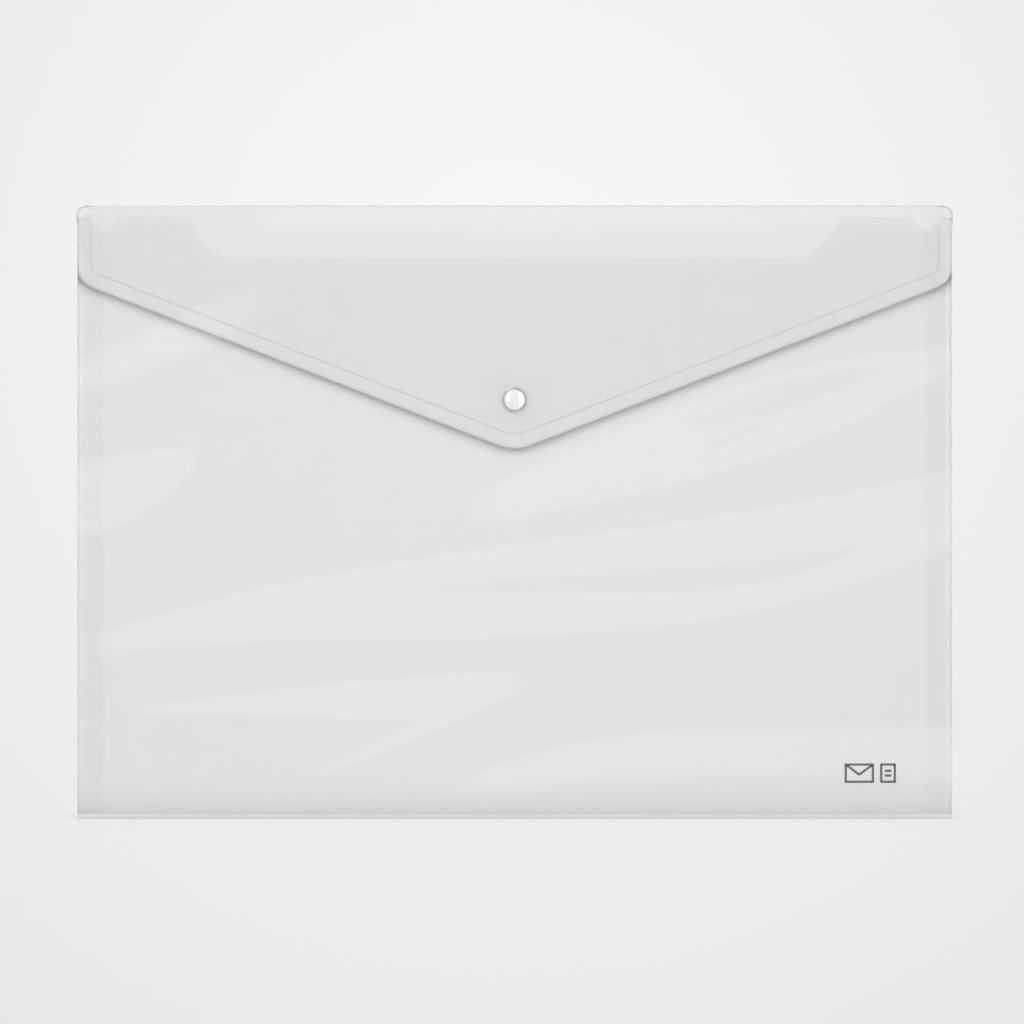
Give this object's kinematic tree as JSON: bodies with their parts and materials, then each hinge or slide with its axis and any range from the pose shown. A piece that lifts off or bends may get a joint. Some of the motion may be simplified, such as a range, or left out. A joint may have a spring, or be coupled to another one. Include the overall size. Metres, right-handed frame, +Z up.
{
  "type": "document wallet",
  "caption": "Flat translucent plastic document wallet with a pointed flap, folded side tabs, a wide thumb cut-out and a snap button.",
  "frame": {"origin": "middle of the bottom edge, halfway through the depth, with the wallet standing upright and closed", "axes": "+Z up towards the flap's crease, +X along the width to the right seen from the front, front towards -Y"},
  "size_m": [0.335, 0.0078, 0.235],
  "materials": {
    "film": "translucent frosted polypropylene sheet with a soft sheen",
    "snap_plastic": "clear moulded plastic"
  },
  "bodies": {
    "back": {"back_panel": "film", "left_side_fold": "film", "right_side_fold": "film", "bottom_fold": "film"},
    "spine": {"top_spine": "film"},
    "flap": {"flap": "film", "snap_cap": "snap_plastic", "snap_socket": "snap_plastic"},
    "front": {"front_panel": "film", "snap_stud": "snap_plastic", "snap_stud_cap": "snap_plastic"}
  },
  "joints": [
    {"name": "back_crease", "type": "hinge", "parent": "back", "child": "spine", "pos_m": [0, 0.00375, 0.23485], "axis": [-1, 0, 0], "range_deg": [0, 175]},
    {"name": "flap_crease", "type": "hinge", "parent": "spine", "child": "flap", "pos_m": [0, -0.00225, 0.23485], "axis": [-1, 0, 0], "range_deg": [0, 175]},
    {"name": "mouth_opening", "type": "hinge", "parent": "back", "child": "front", "pos_m": [0, 0.00045, 0.0018], "axis": [1, 0, 0], "range_deg": [0, 2.6]}
  ],
  "couplings": [
    {"joint": "mouth_opening", "follows": "flap_crease", "ratio": 0.014286}
  ]
}
